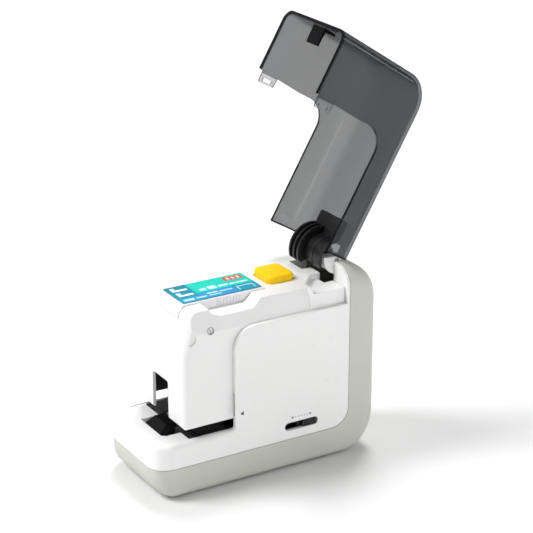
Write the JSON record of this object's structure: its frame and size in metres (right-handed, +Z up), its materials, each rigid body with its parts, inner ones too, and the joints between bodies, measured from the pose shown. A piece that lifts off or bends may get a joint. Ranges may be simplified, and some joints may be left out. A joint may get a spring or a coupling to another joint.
{
  "type": "electric stapler",
  "caption": "Compact motor-driven desk stapler with its hinged smoke cover swung open, a lift-out staple cartridge, a release button and a sliding paper stop.",
  "frame": {"origin": "on the table under the middle of the whole outline, cover open", "axes": "+X to the stapler's right, +Y from the paper slot to the rear, +Z up"},
  "size_m": [0.066, 0.1888, 0.2717],
  "materials": {
    "white_casing": "fine satin, moulded white",
    "grey_casing": "warm grey, lightly textured",
    "black_plastic": "glossy black moulding",
    "smoke_plastic": "clear smoke grey, polished",
    "yellow_plastic": "satin yellow",
    "printed_label": null,
    "bright_steel": "bright, fine drawn grain",
    "zinc_plate": "zinc plated sheet",
    "gear_nylon": "natural nylon",
    "foot_rubber": "dark soft rubber",
    "board_green": "green solder mask",
    "cell_wrap": "plain shrink wrap over a metal can",
    "dark_tray": "dark moulded tray"
  },
  "bodies": {
    "casing": {"body_shell": "white_casing", "head_cover": "white_casing", "hinge_cheek_right": "white_casing", "hinge_cheek_left": "white_casing", "base_shell": "grey_casing", "table_block": "black_plastic", "paper_sensor": "black_plastic", "dc_socket": "black_plastic", "board_capacitor": "black_plastic", "clincher_plate": "bright_steel", "nose_plate": "bright_steel", "button_spring": "bright_steel", "hinge_pin": "bright_steel", "cover_spring": "bright_steel", "cam_shaft": "bright_steel", "idler_shaft": "bright_steel", "lever_pin": "bright_steel", "lever_spring": "bright_steel", "contact_front_left": "bright_steel", "contact_front_right": "bright_steel", "contact_rear_negative": "bright_steel", "contact_rear_bridge": "bright_steel", "contact_rear_positive": "bright_steel", "case_screw_1": "bright_steel", "case_screw_2": "bright_steel", "case_screw_3": "bright_steel", "case_screw_4": "bright_steel", "head_screw": "bright_steel", "magazine_rail": "zinc_plate", "chassis_plate_right": "zinc_plate", "chassis_plate_left": "zinc_plate", "drive_motor": "zinc_plate", "foot_front_left": "foot_rubber", "foot_front_right": "foot_rubber", "foot_rear_left": "foot_rubber", "foot_rear_right": "foot_rubber", "circuit_board": "board_green", "battery_cell_1": "cell_wrap", "battery_cell_2": "cell_wrap", "battery_cell_3": "cell_wrap", "battery_cell_4": "cell_wrap", "battery_tray": "dark_tray", "button_spring_seat": "dark_tray"},
    "cover": {"smoke_cover": "smoke_plastic", "cover_tongue": "black_plastic", "hinge_bracket": "black_plastic"},
    "cartridge": {"staple_cartridge": "white_casing", "cartridge_label": "printed_label", "staple_strip": "bright_steel"},
    "button": {"eject_button": "yellow_plastic"},
    "slider": {"depth_knob": "black_plastic", "paper_stop": "black_plastic"},
    "cam": {"cam_gear": "gear_nylon"},
    "idler": {"idler_gear": "gear_nylon"},
    "pinion": {"motor_pinion": "bright_steel"},
    "lever": {"drive_lever": "zinc_plate"},
    "driver": {"driver_slide": "zinc_plate", "driver_blade": "bright_steel"},
    "door": {"battery_door": "grey_casing"}
  },
  "joints": [
    {"name": "cover_hinge", "type": "hinge", "parent": "casing", "child": "cover", "pos_m": [0, 0.0411, 0.1245], "axis": [-1, 0, 0], "range_deg": [-120.4, 0]},
    {"name": "cartridge_lift", "type": "slide", "parent": "casing", "child": "cartridge", "axis": [0, 0, 1], "range_m": [0, 0.045]},
    {"name": "button_press", "type": "slide", "parent": "casing", "child": "button", "axis": [0, 0, -1], "range_m": [0, 0.0025], "stiffness_N_per_m": 400, "springref_m": -0.001, "deforming": ["button_spring"]},
    {"name": "depth_slide", "type": "slide", "parent": "casing", "child": "slider", "axis": [0, -1, 0], "range_m": [0, 0.012]},
    {"name": "cam_turn", "type": "hinge", "parent": "casing", "child": "cam", "pos_m": [0, -0.0024, 0.066], "axis": [1, 0, 0], "range_deg": [0, 180]},
    {"name": "idler_turn", "type": "hinge", "parent": "casing", "child": "idler", "pos_m": [0, -0.0024, 0.04], "axis": [1, 0, 0], "range_deg": [-515, 5]},
    {"name": "pinion_turn", "type": "hinge", "parent": "casing", "child": "pinion", "pos_m": [0, 0.0166, 0.04], "axis": [1, 0, 0], "range_deg": [-5, 1433]},
    {"name": "lever_swing", "type": "hinge", "parent": "casing", "child": "lever", "pos_m": [0, -0.0304, 0.076], "axis": [1, 0, 0], "range_deg": [0, 9.4]},
    {"name": "driver_drop", "type": "slide", "parent": "casing", "child": "driver", "axis": [0, 0, -1], "range_m": [0, 0.0051]},
    {"name": "door_slide", "type": "slide", "parent": "casing", "child": "door", "axis": [0, 1, 0], "range_m": [0, 0.008]}
  ],
  "couplings": [
    {"joint": "idler_turn", "follows": "cam_turn", "ratio": -2.8333},
    {"joint": "pinion_turn", "follows": "cam_turn", "ratio": 7.9333},
    {"joint": "lever_swing", "follows": "cam_turn", "ratio": 0.05133},
    {"joint": "driver_drop", "follows": "cam_turn", "m_per_rad": 0.0015915}
  ]
}
